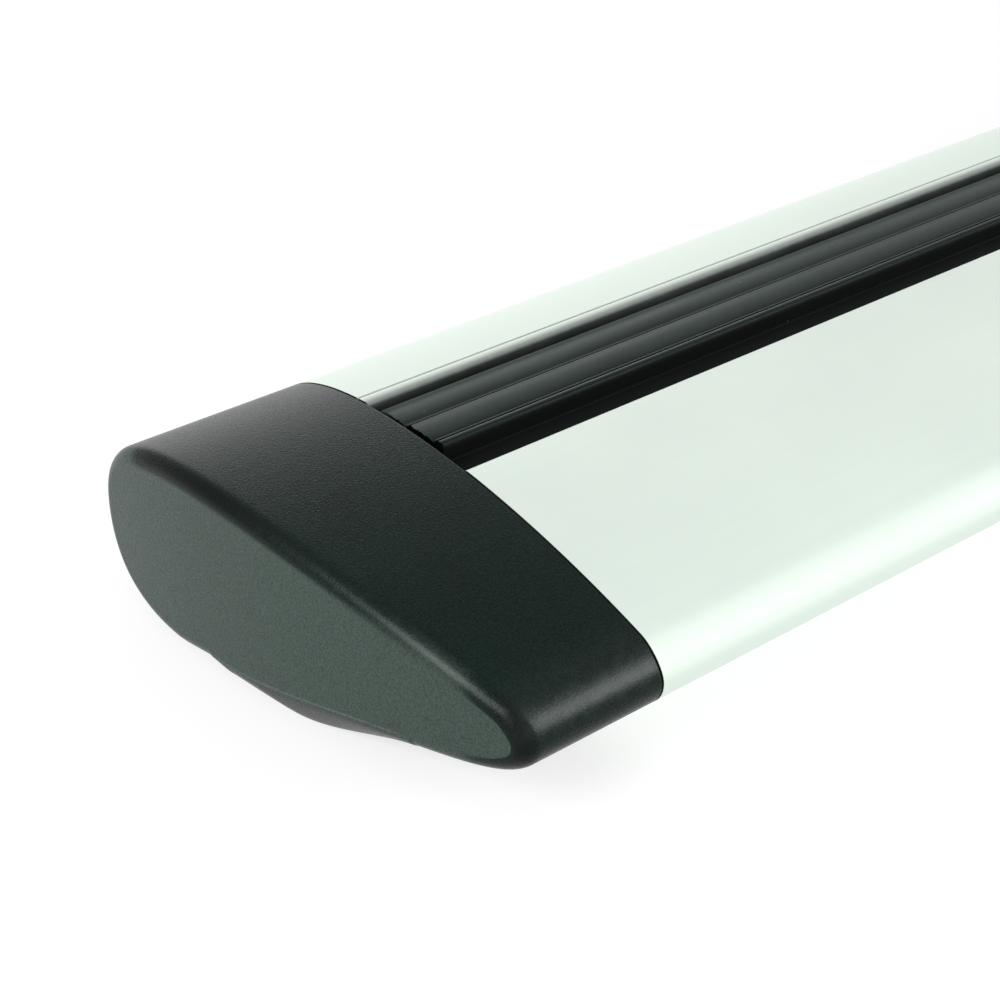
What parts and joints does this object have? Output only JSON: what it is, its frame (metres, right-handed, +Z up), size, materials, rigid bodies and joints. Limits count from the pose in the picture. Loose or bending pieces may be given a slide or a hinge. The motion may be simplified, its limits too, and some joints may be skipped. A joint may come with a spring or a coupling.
{
  "type": "pair of roof cross bars",
  "caption": "Aerofoil roof cross bars in metal, laid side by side, with ribbed rubber in the top slot, a lower fixing channel and moulded black end caps.",
  "frame": {"origin": "centre of the pair's box on the surface that the bars rest on", "axes": "+X along both bars, +Y across them towards the thick leading noses, +Z up through the top slots"},
  "size_m": [1.1992, 0.2816, 0.0287],
  "materials": {
    "bar_metal": "satin anodised silver",
    "strip_rubber": "matt black extruded rubber",
    "cap_plastic": "fine grained black moulded plastic",
    "screw_steel": "plain bright steel"
  },
  "bodies": {
    "root": {"front_bar": "bar_metal", "front_top_strip": "strip_rubber", "front_lower_strip": "strip_rubber", "front_left_cap": "cap_plastic", "front_right_cap": "cap_plastic", "front_left_screw": "screw_steel", "front_right_screw": "screw_steel", "rear_bar": "bar_metal", "rear_top_strip": "strip_rubber", "rear_lower_strip": "strip_rubber", "rear_left_cap": "cap_plastic", "rear_right_cap": "cap_plastic", "rear_left_screw": "screw_steel", "rear_right_screw": "screw_steel"}
  },
  "joints": []
}
